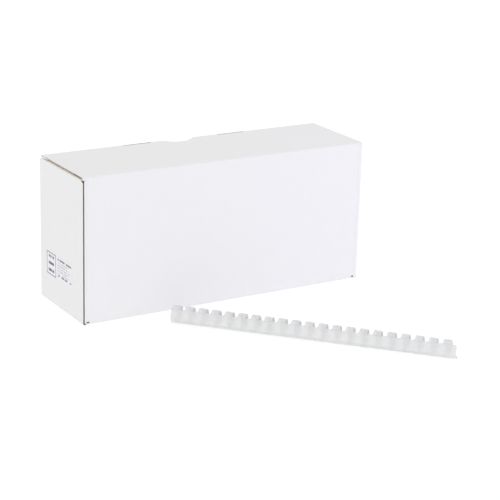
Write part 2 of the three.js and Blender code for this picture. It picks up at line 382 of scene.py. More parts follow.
def kraft_paper(settings):
    """Bare brown paper with long fibres and darker flecks."""
    surface = Surface("kraft_paper", Roughness=0.88, IOR=1.4)
    sheet = surface.attribute("sheet")
    fibres = surface.noise(surface.stretched(sheet, (0.2, 1.0, 1.0)), 1500.0, 4.0)
    cloud = surface.noise(sheet, 70.0, 2.0)
    flecks = surface.spread(surface.noise(sheet, 1100.0, 1.0), 0.66, 0.74)
    base = surface.blended(
        surface.spread(fibres), tone(settings.kraft, 0.86), tone(settings.kraft, 1.12))
    base = surface.blended(
        surface.math("MULTIPLY", surface.spread(cloud), 0.35), base,
        tone(settings.kraft, 1.2))
    base = surface.blended(
        surface.math("MULTIPLY", flecks, 0.5), base, tone(settings.kraft, 0.5))
    surface.colour(base)
    surface.bumps(fibres, 0.00005, 0.7)
    return surface.material


def comb_plastic(settings):
    """Milky clear plastic sheet with faint draw lines from rolling."""
    surface = Surface("comb_plastic", IOR=1.35, Specular_IOR_Level=0.4, Alpha=0.6)
    sheet = surface.attribute("sheet")
    lines = surface.noise(surface.stretched(sheet, (0.05, 1.0, 1.0)), 900.0, 3.0)
    haze = surface.noise(sheet, 130.0, 3.0)
    surface.colour(surface.blended(
        surface.spread(haze), tone(settings.tint, 0.98), tone(settings.tint, 1.02)))
    surface.feed(
        surface.shader.inputs["Roughness"], surface.spread(haze, 0.3, 0.7, 0.24, 0.32))
    surface.bumps(lines, 0.00002, 0.2)
    return surface.material


def label_paper(settings):
    """Label stock printed with a framed box of short bars and a block of rules."""
    surface = Surface("label_print", Roughness=0.5)
    place = surface.place()
    parts = surface.add("ShaderNodeSeparateXYZ", {"Vector": place})
    along = surface.math("SUBTRACT", LABEL[1].y, parts.outputs["Y"])
    up = surface.math("SUBTRACT", parts.outputs["Z"], LABEL[0].z)

    def within(value, low, high):
        middle = (low + high) / 2
        return surface.math(
            "LESS_THAN", surface.math("ABSOLUTE", surface.math("SUBTRACT", value, middle)),
            (high - low) / 2)

    def patch(left, right, low, high):
        return surface.math("MULTIPLY", within(along, left, right), within(up, low, high))

    def dashed(left, right, low, high, seed, dash=DASH):
        cell = surface.math("FLOOR", surface.math("DIVIDE", along, dash))
        pick = surface.add(
            "ShaderNodeTexWhiteNoise", {"W": surface.math("ADD", cell, seed)},
            noise_dimensions="1D").outputs["Value"]
        inked = surface.math("GREATER_THAN", pick, 0.3)
        return surface.math("MULTIPLY", patch(left, right, low, high), inked)

    ink = surface.math("SUBTRACT", patch(*FRAME_OUTER), patch(*FRAME_INNER))
    for row, low in enumerate(BAR_LOWS):
        bar = dashed(*BAR_SPAN, low, low + BAR_HEIGHT, 3.7 * row + 1.0, BAR_DASH)
        ink = surface.math("MAXIMUM", ink, bar)
    for row in range(RULE_ROWS):
        low = BAR_LOWS[0] + BAR_HEIGHT * row
        right, height, strength = RULE_RIGHT - RULE_STEP * (row % 3), RULE_HEIGHT, RULE_STRENGTH
        if row in (0, RULE_ROWS - 1):
            right, height, strength = BOLD_RIGHT, BOLD_HEIGHT, BOLD_STRENGTH
        rule = dashed(RULE_LEFT, right, low, low + height, 11.3 * row + 5.0)
        ink = surface.math("MAXIMUM", ink, surface.math("MULTIPLY", rule, strength))
    fade = surface.spread(surface.noise(place, 1400.0, 2.0), 0.3, 0.6, 0.72, 1.0)
    paper = surface.blended(
        surface.spread(surface.noise(place, 260.0, 3.0)),
        tone(settings.paper, 0.985), tone(settings.paper, 1.01))
    surface.colour(surface.blended(
        surface.math("MULTIPLY", ink, fade), paper, tone(settings.ink, 1.0)))
    surface.bumps(surface.noise(place, 2400.0, 2.0), 0.00001, 0.4)
    return surface.material


def floor_paint():
    """Pale floor that glows a little, so that only contact shadows show on it."""
    surface = Surface(
        "pale_floor", Roughness=0.9, Emission_Color=WHITE, Emission_Strength=FLOOR_GLOW)
    shade = surface.noise(surface.place(), 1.5, 2.0)
    surface.colour(surface.blended(
        surface.spread(shade), *(tone((grey, grey, grey), 1.0) for grey in FLOOR_GREYS)))
    return surface.material


MATERIALS = {}


def finish_named(name, maker, settings):
    """A material made once and shared by every piece that wears it."""
    if name not in MATERIALS:
        MATERIALS[name] = maker(settings)
    return MATERIALS[name]


def board_papers(scene):
    """Kraft first, as the node tree sets it, then the white liner."""
    settings = scene.carton_board
    return [
        finish_named("kraft", kraft_paper, settings),
        finish_named("white", white_liner, settings),
    ]


# Mesh helpers.

def add_piece(name, mesh, body, replaced=()):
    """Links a finished mesh, puts it on the body it rides and hides the CAD nodes it stands for."""
    piece = linked(name, mesh)
    if body is not None:
        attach(piece, body)
    if replaced:
        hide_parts(*replaced)
    return piece


def coordinates(mesh):
    values = np.empty(len(mesh.vertices) * 3)
    mesh.vertices.foreach_get("co", values)
    return values.reshape(-1, 3)


def set_coordinates(mesh, values):
    mesh.vertices.foreach_set("co", np.asarray(values, float).ravel())
    mesh.update()


def remember_sheet(mesh):
    """Stores the flat sheet's coordinates, which the paper and plastic patterns follow."""
    values = coordinates(mesh)
    store = mesh.attributes.new("sheet", "FLOAT_VECTOR", "POINT")
    store.data.foreach_set("vector", values.astype(np.float32).ravel())


def face_out(mesh, sharp=35.0):
    """Turns every closed shell's faces outwards and smooths what isn't an edge."""
    shape = bmesh.new()
    shape.from_mesh(mesh)
    bmesh.ops.recalc_face_normals(shape, faces=shape.faces)
    shape.to_mesh(mesh)
    shape.free()
    mesh.shade_smooth()
    mesh.set_sharp_from_angle(angle=math.radians(sharp))


def skin(shape, rings):
    """Closes a run of rings of vertices into one shell."""
    faces = [shape.faces.new(rings[0]), shape.faces.new(reversed(rings[-1]))]
    for before, after in zip(rings, rings[1:]):
        for i, _ in enumerate(before):
            j = (i + 1) % len(before)
            faces.append(shape.faces.new((before[i], after[i], after[j], before[j])))
    return faces


def mesh_from(name, shape):
    mesh = bpy.data.meshes.new(name)
    shape.to_mesh(mesh)
    shape.free()
    return mesh


# Corrugated board.

def board_tree():
    """Flat corrugated board: two liners and the waved fluting, with the flutes along X.

    The sheet is centred on X and Y, and its outer face is at Z = 0.
    """
    tree = ShapeTree("corrugated_board", {
        "Along flutes": "NodeSocketFloat",
        "Across flutes": "NodeSocketFloat",
        "Thickness": "NodeSocketFloat",
        "Liner": "NodeSocketFloat",
        "Fluting": "NodeSocketFloat",
        "Flute pitch": "NodeSocketFloat",
        "Steps per flute": "NodeSocketFloat",
        "Paper": "NodeSocketMaterial",
    })
    given = tree.given
    size = tree.vector(given["Along flutes"], given["Across flutes"], given["Liner"])
    half_liner = tree.math("MULTIPLY", given["Liner"], 0.5)
    depths = (half_liner, tree.math("SUBTRACT", given["Thickness"], half_liner))
    layers = []
    for depth in depths:
        plate = tree.add("GeometryNodeMeshCube", {"Size": size})
        drop = tree.vector(z=tree.math("MULTIPLY", depth, -1.0))
        layers.append(tree.add(
            "GeometryNodeTransform", {"Geometry": plate.outputs[0], "Translation": drop}).outputs[0])

    flutes = tree.math("DIVIDE", given["Across flutes"], given["Flute pitch"])
    steps = tree.math("CEIL", tree.math("MULTIPLY", flutes, given["Steps per flute"]))
    grid = tree.add("GeometryNodeMeshGrid", {
        "Size X": given["Along flutes"], "Size Y": given["Across flutes"],
        "Vertices X": 2, "Vertices Y": tree.math("ADD", steps, 1.0)})
    here = tree.add(
        "ShaderNodeSeparateXYZ", {"Vector": tree.add("GeometryNodeInputPosition").outputs[0]})
    angle = tree.math(
        "MULTIPLY", tree.math("DIVIDE", here.outputs["Y"], given["Flute pitch"]), 2.0 * math.pi)
    papers = tree.math("ADD", tree.math("MULTIPLY", given["Liner"], 2.0), given["Fluting"])
    room = tree.math("MULTIPLY", tree.math("SUBTRACT", given["Thickness"], papers), 0.49)
    wave = tree.math("MULTIPLY", tree.math("SINE", angle), room)
    middle = tree.math(
        "MULTIPLY", tree.math("ADD", given["Thickness"], given["Fluting"]), -0.5)
    waved = tree.add("GeometryNodeSetPosition", {
        "Geometry": grid.outputs[0], "Offset": tree.vector(z=tree.math("ADD", wave, middle))})
    raised = tree.add("GeometryNodeExtrudeMesh", {
        "Mesh": waved.outputs[0], "Offset": tree.vector(z=1.0),
        "Offset Scale": given["Fluting"], "Individual": False}, mode="FACES")
    under = tree.add("GeometryNodeFlipFaces", {"Mesh": waved.outputs[0]})
    shell = tree.add("GeometryNodeJoinGeometry")
    for part in (raised.outputs[0], under.outputs[0]):
        tree.tree.links.new(part, shell.inputs[0])
    welded = tree.add(
        "GeometryNodeMergeByDistance", {"Geometry": shell.outputs[0], "Distance": 1e-6})
    layers.append(welded.outputs[0])

    board = tree.add("GeometryNodeJoinGeometry")
    for layer in layers:
        tree.tree.links.new(layer, board.inputs[0])
    tree.finish(board.outputs[0], given["Paper"])
    return tree


TREES = {}


def shape_tree(name, maker):
    if name not in TREES:
        TREES[name] = maker()
    return TREES[name]


def flat_board(name, along, across, scene):
    """One flat sheet of corrugated board, with white on its outer face and kraft elsewhere."""
    settings = scene.carton_board
    papers = board_papers(scene)
    mesh = shape_tree("board", board_tree).make(name, {
        "Along flutes": along, "Across flutes": across, "Thickness": BOARD,
        "Liner": settings.liner, "Fluting": settings.fluting,
        "Flute pitch": settings.flute_pitch, "Steps per flute": 10.0, "Paper": papers[0]})
    mesh.materials.append(papers[1])
    for face in mesh.polygons:
        if face.center.z > -settings.liner / 4:
            face.material_index = 1
    return mesh


def cut_board(mesh, cutters):
    """Cuts the flat sheet with closed cutter meshes. The cut edges are bare kraft."""
    board = linked("sheet_being_cut", mesh)
    made = []
    for index, cutter in enumerate(cutters):
        cutter.materials.append(mesh.materials[0])
        tool = linked("cutter", cutter)
        made.append(tool)
        modifier = board.modifiers.new(f"Cut_{index}", "BOOLEAN")
        modifier.operation = "DIFFERENCE"
        modifier.solver = "EXACT"
        modifier.material_mode = "TRANSFER"
        modifier.object = tool
    depsgraph = bpy.context.evaluated_depsgraph_get()
    result = bpy.data.meshes.new_from_object(board.evaluated_get(depsgraph), depsgraph=depsgraph)
    for tool in made:
        bpy.data.objects.remove(tool)
    bpy.data.objects.remove(board)
    return result


def block_cutter(x_from, x_to, y_from, y_to, low=-2.0 * BOARD, high=BOARD):
    """A box, right through the sheet's thickness unless its two heights are given."""
    return prism_cutter(
        [(x_from, y_from), (x_to, y_from), (x_to, y_to), (x_from, y_to)], low, high)


def disc_cutter(x, y, radius, steps=64):
    """A round cutter through the sheet's thickness."""
    turns = [2.0 * math.pi * i / steps for i in range(steps)]
    return prism_cutter([(x + radius * math.cos(t), y + radius * math.sin(t)) for t in turns])


def prism_cutter(outline, low=-2.0 * BOARD, high=BOARD):
    shape = bmesh.new()
    skin(shape, [[shape.verts.new((x, y, z)) for x, y in outline] for z in (high, low)])
    return mesh_from("cutter", shape)


class FoldPath:
    """The outer face of a folded sheet, drawn in one plane.

    The sheet starts at `start` and heads along `heading` degrees, with its outer face on the
    left. Each step is ("run", length) or ("fold", degrees), and every fold turns right.
    """

    def __init__(self, start, heading, steps, radius=FOLD_RADIUS):
        self.radius = radius
        self.pieces = []
        place = np.array(start, float)
        angle = math.radians(heading)
        travelled = 0.0
        for kind, amount in steps:
            length = amount if kind == "run" else radius * math.radians(amount)
            self.pieces.append((kind, travelled, length, place.copy(), angle))
            if kind == "run":
                place += amount * np.array([math.cos(angle), math.sin(angle)])
            else:
                centre = place - radius * self.left_of(angle)
                angle -= math.radians(amount)
                place = centre + radius * self.left_of(angle)
            travelled += length
        self.length = travelled
        self.end = place
        self.end_heading = math.degrees(angle)

    @staticmethod
    def left_of(angle):
        return np.array([-math.sin(angle), math.cos(angle)])

    def folds(self):
        return [(begin, length) for kind, begin, length, _, _ in self.pieces if kind == "fold"]

    def crush(self, travel):
        """How much of its thickness the board keeps: folding squashes it along the crease."""
        kept = np.ones(len(travel))
        for begin, length in self.folds():
            away = np.maximum(begin - travel, travel - begin - length)
            kept = np.minimum(kept, CRUSHED + (1.0 - CRUSHED) * eased(away / CREASE_MARGIN))
        return kept

    def at(self, travel, depth):
        """Places of points that lie `depth` under the outer face at `travel` along it."""
        depth = depth * self.crush(travel)
        result = np.zeros((len(travel), 2))
        last = len(self.pieces) - 1
        for index, (kind, begin, length, place, angle) in enumerate(self.pieces):
            lower = -1e9 if index == 0 else begin
            upper = 1e9 if index == last else begin + length
            chosen = (travel >= lower) & (travel < upper)
            t = travel[chosen] - begin
            h = depth[chosen]
            if kind == "run":
                ahead = np.array([math.cos(angle), math.sin(angle)])
                points = place + t[:, None] * ahead - h[:, None] * self.left_of(angle)
            else:
                centre = place - self.radius * self.left_of(angle)
                turned = angle - t / self.radius
                outward = np.stack([-np.sin(turned), np.cos(turned)], axis=1)
                points = centre + (self.radius - h)[:, None] * outward
            result[chosen] = points
        return result


def slice_mesh(mesh, axis, places):
    """Adds an edge loop to the flat sheet at each place along an axis."""
    shape = bmesh.new()
    shape.from_mesh(mesh)
    normal = Vector((0.0, 0.0, 0.0))
    normal[axis] = 1.0
    for place in places:
        parts = shape.verts[:] + shape.edges[:] + shape.faces[:]
        bmesh.ops.bisect_plane(
            shape, geom=parts, dist=1e-7, plane_co=normal * place, plane_no=normal)
    shape.to_mesh(mesh)
    shape.free()


def fold_board(mesh, path, along_flutes, put, steps=8):
    """Folds a flat sheet along a path that starts at its low edge.

    `along_flutes` says whether the path follows the flutes (X) or crosses them (Y). `put` takes
    the two coordinates in the path's plane and the one across it, and gives X, Y and Z.
    """
    axis = 0 if along_flutes else 1
    low = coordinates(mesh)[:, axis].min()
    cuts = []
    for begin, length in path.folds():
        cuts += [begin + length * i / steps for i in range(steps + 1)]
        for away in (CREASE_MARGIN * k / 3 for k in (1, 2, 3)):
            cuts += [begin - away, begin + length + away]
    inside = [cut for cut in cuts if 1e-5 < cut < path.length - 1e-5]
    slice_mesh(mesh, axis, [low + cut for cut in inside])
    remember_sheet(mesh)
    flat = coordinates(mesh)
    in_plane = path.at(flat[:, axis] - low, -flat[:, 2])
    set_coordinates(mesh, np.stack(put(in_plane[:, 0], in_plane[:, 1], flat[:, 1 - axis]), axis=1))
    face_out(mesh)
    return mesh


def across_length(u, v, w):
    """A path in the YZ plane, with the sheet's other way along X."""
    return w, u, v


# Carton pieces.

def build_shell(scene):
    """Rear wall, bottom and front wall: one sheet folded along the two long bottom edges."""
    rear = WALL_TOP - FOLD_RADIUS
    floor = 2 * (HALF_DEPTH - FOLD_RADIUS)
    front = HEIGHT - 2 * FOLD_RADIUS - CREASE_MARGIN
    path = FoldPath((HALF_DEPTH, WALL_TOP), 270.0, [
        ("run", rear), ("fold", 90.0), ("run", floor), ("fold", 90.0), ("run", front)])
    mesh = flat_board("long_shell", 2 * WALL_END, path.length, scene)
    low = -path.length / 2
    outside = WALL_END + BOARD
    wall_edge = WALL_END - FOLD_RADIUS - CREASE_MARGIN
    cutters = []
    for side in (-1, 1):
        edges = sorted((side * wall_edge, side * outside))
        cutters.append(block_cutter(*edges, low - CUT_PAST, low + rear))
        cutters.append(block_cutter(*edges, -low - front, CUT_PAST - low))
        for row in (-1, 1):
            x = side * (INNER_X + BOARD / 2)
            y = low + rear + FOLD_RADIUS * math.pi / 2 - FOLD_RADIUS + HALF_DEPTH
            y += row * TAB_SPACING / 2
            wide = BOARD / 2 + SLOT_PLAY
            tall = TAB_WIDTH / 2 + SLOT_PLAY
            cutters.append(block_cutter(x - wide, x + wide, y - tall, y + tall))
    notch_centre = WALL_TOP - (HEIGHT - NOTCH_DEPTH + NOTCH_RADIUS)
    cutters.append(disc_cutter(NOTCH_X, low + notch_centre, NOTCH_RADIUS))
    mesh = cut_board(mesh, cutters)
    fold_board(mesh, path, False, across_length)
    add_piece("long_shell", mesh, "carton",
              ["front_wall", "bottom_panel", "rear_wall"])


def build_end(scene, name, side):
    """Outer end wall, rolled-over top and inner end wall with its tabs: one folded sheet."""
    rise = WALL_TOP - 2 * FOLD_RADIUS
    roll = (HALF_LENGTH - INNER_X) - 2 * FOLD_RADIUS
    tab_end = SLOT_PLAY
    drop = WALL_TOP - FOLD_RADIUS - tab_end
    foot_run = HALF_LENGTH - FOLD_RADIUS - WALL_END
    path = FoldPath((-WALL_END, 0.0), 180.0, [
        ("run", foot_run), ("fold", 90.0), ("run", rise), ("fold", 90.0), ("run", roll),
        ("fold", 90.0), ("run", drop)])
    across = 2 * HALF_DEPTH - 2 * SLOT_PLAY
    mesh = flat_board(f"{name}_end_wall", path.length, across, scene)
    low = -path.length / 2
    narrow_from = low + path.folds()[1][0]
    foot = -low - (FLOOR_TOP - tab_end)
    cutters = []
    for row in (-1, 1):
        edges = sorted((row * INNER_Y, row * (HALF_DEPTH + CUT_PAST)))
        cutters.append(block_cutter(narrow_from, CUT_PAST - low, *edges))
    tabs = [-TAB_SPACING / 2, TAB_SPACING / 2]
    half = TAB_WIDTH / 2
    gaps = [(-INNER_Y - CUT_PAST, tabs[0] - half), (tabs[0] + half, tabs[1] - half),
            (tabs[1] + half, INNER_Y + CUT_PAST)]
    cutters += [block_cutter(foot, CUT_PAST - low, *gap) for gap in gaps]
    edge = -across / 2
    cutters.append(block_cutter(
        low - CUT_PAST, narrow_from, edge - CUT_PAST, edge + EDGE_RECESS, -2.0 * BOARD,
        -scene.carton_board.liner))
    mesh = cut_board(mesh, cutters)

    def put(u, v, w):
        return -side * u, w, v

    fold_board(mesh, path, True, put)
    gap = LIP_GAPS[name]
    outside = side * (HALF_LENGTH - gap - (scene.carton_board.liner if gap else 1e-5))
    inside = side * (WALL_END - FOLD_RADIUS / 3)
    foot = FOLD_RADIUS if gap else SLOT_PLAY
    top = WALL_TOP - SLOT_PLAY
    add_lip(mesh, 1, edge - LIP_THICKNESS / 2, edge + LIP_THICKNESS / 2, [
        (outside, foot), (inside, foot), (inside, top), (outside, top)])
    add_piece(f"{name}_end_wall", mesh, "carton",
              [f"{name}_end_outer", f"{name}_end_top", f"{name}_end_inner"])


def add_lip(mesh, axis, low, high, outline):
    """Adds a lip of the white liner that is turned over a raw edge, flat across one axis."""
    shape = bmesh.new()
    shape.from_mesh(mesh)
    layer = shape.verts.layers.float_vector["sheet"]
    rings = []
    for level in (low, high):
        corners = [list(corner) for corner in outline]
        for corner in corners:
            corner.insert(axis, level)
        rings.append([shape.verts.new(corner) for corner in corners])
    faces = skin(shape, rings)
    for face in faces:
        face.material_index = 1
        for vertex in face.verts:
            vertex[layer] = vertex.co
    bmesh.ops.recalc_face_normals(shape, faces=faces)
    shape.to_mesh(mesh)
    shape.free()


def build_corner_flap(scene, name, side, row):
    """A corner flap and the upright fold that joins it to its long wall."""
    reach = CORNER_FLAP[1].y - CORNER_FLAP[0].y
    path = FoldPath((-(WALL_END - FOLD_RADIUS - CREASE_MARGIN), -HALF_DEPTH), 180.0, [
        ("run", CREASE_MARGIN), ("fold", 90.0), ("run", reach)])
    tall = HEIGHT - FOLD_RADIUS - CREASE_MARGIN - FLOOR_TOP
    mesh = flat_board(name, path.length, tall, scene)
    low = -path.length / 2
    taper_from = low + sum(path.folds()[0]) + CREASE_MARGIN
    top = CORNER_FLAP[1].z - FLOOR_TOP - tall / 2
    upper = prism_cutter([
        (taper_from, top), (CUT_PAST - low, top - FLAP_TAPER), (CUT_PAST - low, tall),
        (taper_from, tall)])
    lower = prism_cutter([
        (taper_from, -tall / 2), (taper_from, -tall), (CUT_PAST - low, -tall),
        (CUT_PAST - low, FLAP_TAPER - tall / 2)])
    mesh = cut_board(mesh, [upper, lower])

    def put(u, v, w):
        return -side * u, -row * v, w + FLOOR_TOP + tall / 2

    fold_board(mesh, path, True, put)
    add_piece(name, mesh, "carton", [name])


def lid_parts():
    """Where the lid's two folds start and end, as paths in the YZ plane."""
    hinge = FoldPath(
        (-HALF_DEPTH, HEIGHT - FOLD_RADIUS - CREASE_MARGIN), 90.0,
        [("run", CREASE_MARGIN), ("fold", 90.0), ("run", CREASE_MARGIN)])
    flat = CREASE_Y - FOLD_RADIUS - CREASE_MARGIN - hinge.end[0]
    lid = FoldPath(hinge.end, 0.0, [("run", flat)])
    crease = FoldPath(
        lid.end, 0.0, [("run", CREASE_MARGIN), ("fold", TUCK_FOLD), ("run", CREASE_MARGIN)])
    gone = FOLD_RADIUS * math.tan(math.radians(TUCK_FOLD / 2)) + CREASE_MARGIN
    flap = FoldPath(crease.end, crease.end_heading, [("run", TUCK_REACH - gone)])
    return hinge, lid, crease, flap


def build_lid(scene):
    hinge, lid, crease, flap = lid_parts()

    mesh = flat_board("lid_hinge_fold", 2 * HALF_LENGTH, hinge.length, scene)
    low = -hinge.length / 2
    corners = [sorted((side * WALL_END, side * (HALF_LENGTH + BOARD))) for side in (-1, 1)]
    mesh = cut_board(mesh, [
        block_cutter(*corner, low - BOARD, low + CORNER_NICK) for corner in corners])
    fold_board(mesh, hinge, False, across_length, steps=16)
    fold = add_piece("lid_hinge_fold", mesh, None)
    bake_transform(fold)

    mesh = flat_board("lid_board", 2 * HALF_LENGTH, lid.length, scene)
    edge = lid.length / 2
    to_notch = edge + FOLD_RADIUS + CREASE_MARGIN - NOTCH_DEPTH + NOTCH_RADIUS
    liner = scene.carton_board.liner
    end = -HALF_LENGTH
    corner = edge - LIP_LENGTH
    mesh = cut_board(mesh, [
        disc_cutter(NOTCH_X, to_notch, NOTCH_RADIUS),
        block_cutter(end - BOARD, end + EDGE_RECESS, -edge - BOARD, -corner,
                     liner - BOARD, -liner),
        block_cutter(end - BOARD, end + EDGE_RECESS, corner, edge + BOARD, -2.0 * BOARD, -liner)])
    fold_board(mesh, lid, False, across_length)
    rear = lid.end[0]
    add_lip(mesh, 0, end, end + LIP_THICKNESS, [
        (y, HEIGHT - drop) for y, drop in zip((rear - LIP_LENGTH, rear, rear), LIP_DROPS)])
    add_piece("lid_board", mesh, "lid", ["lid"])

    mesh = flat_board("tuck_crease_fold", 2 * HALF_LENGTH, crease.length, scene)
    low = -crease.length / 2
    slit_middle = low + SLIT_WIDTH / 2 + SLIT_MARGIN
    flap_end = INNER_X - TUCK_END_GAP
    turned = low + CREASE_MARGIN + FOLD_RADIUS * math.radians(60.0)
    beyond = NOTCH_RADIUS - NOTCH_DEPTH + FOLD_RADIUS + CREASE_MARGIN
    half_notch = math.sqrt(NOTCH_RADIUS ** 2 - beyond ** 2)
    cutters = [prism_cutter([
        (NOTCH_X - half_notch, low - 1e-4), (NOTCH_X + half_notch, low - 1e-4),
        (NOTCH_X + NOTCH_CHORD / 2, 0.0), (NOTCH_X + half_notch, 1e-4 - low),
        (NOTCH_X - half_notch, 1e-4 - low), (NOTCH_X - NOTCH_CHORD / 2, 0.0)])]
    for side in (-1, 1):
        slit = sorted((side * SLIT_START, side * (SLIT_START + SLIT_LENGTH)))
        cutters.append(block_cutter(
            *slit, slit_middle - SLIT_WIDTH / 2, slit_middle + SLIT_WIDTH / 2))
        ends = sorted((side * flap_end, side * (HALF_LENGTH + BOARD)))
        cutters.append(block_cutter(*ends, turned, BOARD - low))
    mesh = cut_board(mesh, cutters)
    fold_board(mesh, crease, False, across_length, steps=12)
    fold = add_piece("tuck_crease_fold", mesh, None)
    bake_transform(fold)

    mesh = flat_board("tuck_flap_board", 2 * flap_end, flap.length, scene)
    low = -flap.length / 2
    gone = TUCK_REACH - flap.length
    to_notch = low - gone + NOTCH_DEPTH - NOTCH_RADIUS
    cutters = [disc_cutter(NOTCH_X, to_notch, NOTCH_RADIUS)]
    for side in (-1, 1):
        cutters.append(corner_cutter(side * flap_end, -low, side, TUCK_CORNER))
    mesh = cut_board(mesh, cutters)
    fold_board(mesh, flap, False, across_length)
    add_piece("tuck_flap_board", mesh, "tuck_flap", ["tuck_flap"])


def corner_cutter(x, y, side, radius, steps=12):
    """Takes a sheet's corner at (x, y) off, and leaves it round."""
    centre = (x - side * radius, y - radius)
    arc = [
        (centre[0] + side * radius * math.sin(t), centre[1] + radius * math.cos(t))
        for t in (math.pi / 2 * i / steps for i in range(steps + 1))]
    outside = [(x + side * BOARD, centre[1]), (x + side * BOARD, y + BOARD), (centre[0], y + BOARD)]
    outline = arc + outside
    return prism_cutter(outline if side < 0 else outline[::-1])


def build_label(scene):
    """A thin paper sheet with round corners, stuck to the left end wall."""
    settings = scene.carton_label
    paper = finish_named("label", label_paper, settings)
    centre_y = (LABEL[0].y + LABEL[1].y) / 2
    centre_z = (LABEL[0].z + LABEL[1].z) / 2
    half_y = (LABEL[1].y - LABEL[0].y) / 2
    half_z = (LABEL[1].z - LABEL[0].z) / 2
    corner = settings.corner
    outline = []
    for quarter in range(4):
        middle = math.radians(90.0 * quarter + 45.0)
        y = math.copysign(half_y - corner, math.cos(middle))
        z = math.copysign(half_z - corner, math.sin(middle))
        for step in range(7):
            turn = math.radians(90.0 * quarter + 15.0 * step)
            outline.append((y + corner * math.cos(turn), z + corner * math.sin(turn)))
    shape = bmesh.new()
    lift = 0.00002
    rings = []
    for out in (lift, lift + settings.thickness):
        rings.append([
            shape.verts.new((-HALF_LENGTH - out, centre_y + y, centre_z + z)) for y, z in outline])
    skin(shape, rings)
    mesh = mesh_from("end_label", shape)
    mesh.materials.append(paper)
    face_out(mesh)
    add_piece("end_label", mesh, "carton", ["label"])


# Binding combs.

SPINE_LOW = -110.0
ROOT = 49.0
TUCK_FROM = 180.0
TUCK_TO = 243.0
FINGER_END = 290.0
TUCK_CLEARANCE = 0.0005
ROOT_FLARE = 0.0012
TAPER_FROM = 0.45
SPINE_CORNER = 0.0008
PLASTIC_BEVEL = 0.00018


def roll_radius(angle, settings):
    """Outer radius of the rolled plastic: round, then pulled in where the tips tuck inside."""
    radius = settings.diameter / 2
    tucked = radius - settings.wall - TUCK_CLEARANCE
    return radius + (tucked - radius) * eased((angle - TUCK_FROM) / (TUCK_TO - TUCK_FROM))


def rolled_strip(name, first, last, steps, half_width, bevel, settings):
    """A strip of comb plastic rolled about X, with its axis one radius up.

    Angles run from -Y upwards. `half_width` gives half the strip's width at a share of its
    length. With a bevel the strip's section has eight corners, and without one it has four.
    """
    wall = settings.wall
    radius = settings.diameter / 2
    shape = bmesh.new()
    rings = []
    for i in range(steps + 1):
        share = i / steps
        angle = first + (last - first) * share
        outer = roll_radius(angle, settings)
        wide = half_width(share)
        b = min(bevel, wide * 0.4)
        if bevel > 0.0:
            section = [
                (-wide + b, outer), (wide - b, outer), (wide, outer - b), (wide, outer - wall + b),
                (wide - b, outer - wall), (-wide + b, outer - wall), (-wide, outer - wall + b),
                (-wide, outer - b)]
        else:
            section = [(-wide, outer), (wide, outer), (wide, outer - wall), (-wide, outer - wall)]
        turn = math.radians(angle)
        rings.append([
            shape.verts.new((x, -r * math.cos(turn), radius + r * math.sin(turn)))
            for x, r in section])
    skin(shape, rings)
    return mesh_from(name, shape)


def finger_width_at(share, settings):
    """Half width of a ring: a small flare at the root, a long taper and a round tip."""
    radius = settings.diameter / 2
    length = radius * math.radians(FINGER_END - ROOT)
    here = share * length
    wide = settings.finger_width / 2
    tip = settings.tip_width / 2
    half = wide + (tip - wide) * eased((share - TAPER_FROM) / (1.0 - TAPER_FROM))
    if here < ROOT_FLARE:
        half += ROOT_FLARE - math.sqrt(ROOT_FLARE ** 2 - (ROOT_FLARE - here) ** 2)
    left = length - here
    if left < tip:
        half = min(half, math.sqrt(max(0.0, tip * tip - (tip - left) ** 2)) + 0.0002)
    return half


def finger_mesh(settings, steps, bevel):
    return rolled_strip(
        "ring", ROOT, FINGER_END, steps,
        lambda share: finger_width_at(share, settings), bevel, settings)


def repeat_tree():
    """Repeats a ring along its comb, or a comb across the carton."""
    tree = ShapeTree("comb_repeat", {
        "Pattern": "NodeSocketObject",
        "Count": "NodeSocketInt",
        "First place": "NodeSocketVector",
        "Step": "NodeSocketVector",
        "Plastic": "NodeSocketMaterial",
    })
    given = tree.given
    line = tree.add("GeometryNodeMeshLine", {
        "Count": given["Count"], "Start Location": given["First place"],
        "Offset": given["Step"]}, mode="OFFSET")
    pattern = tree.add("GeometryNodeObjectInfo", {"Object": given["Pattern"]})
    placed = tree.add("GeometryNodeInstanceOnPoints", {
        "Points": line.outputs[0], "Instance": pattern.outputs["Geometry"]})
    tree.finish(placed.outputs[0], given["Plastic"])
    return tree


def ring_row(settings, steps, bevel, plastic):
    helper = linked("ring_pattern", finger_mesh(settings, steps, bevel))
    first = -(settings.rings - 1) * settings.pitch / 2
    mesh = shape_tree("repeat", repeat_tree).make("comb_rings", {
        "Pattern": helper, "Count": settings.rings, "First place": (first, 0.0, 0.0),
        "Step": (settings.pitch, 0.0, 0.0), "Plastic": plastic})
    bpy.data.objects.remove(helper)
    return mesh


def spine_mesh(settings, steps, bevel, plastic):
    length = settings.rings * settings.pitch
    arc = settings.diameter / 2 * math.radians(ROOT - SPINE_LOW)

    def half(share):
        near = min(share, 1.0 - share) * arc
        gone = max(0.0, SPINE_CORNER - near)
        return length / 2 - SPINE_CORNER + math.sqrt(SPINE_CORNER ** 2 - gone ** 2)

    mesh = rolled_strip("comb_spine", SPINE_LOW, ROOT, steps, half, bevel, settings)
    mesh.materials.append(plastic)
    return mesh


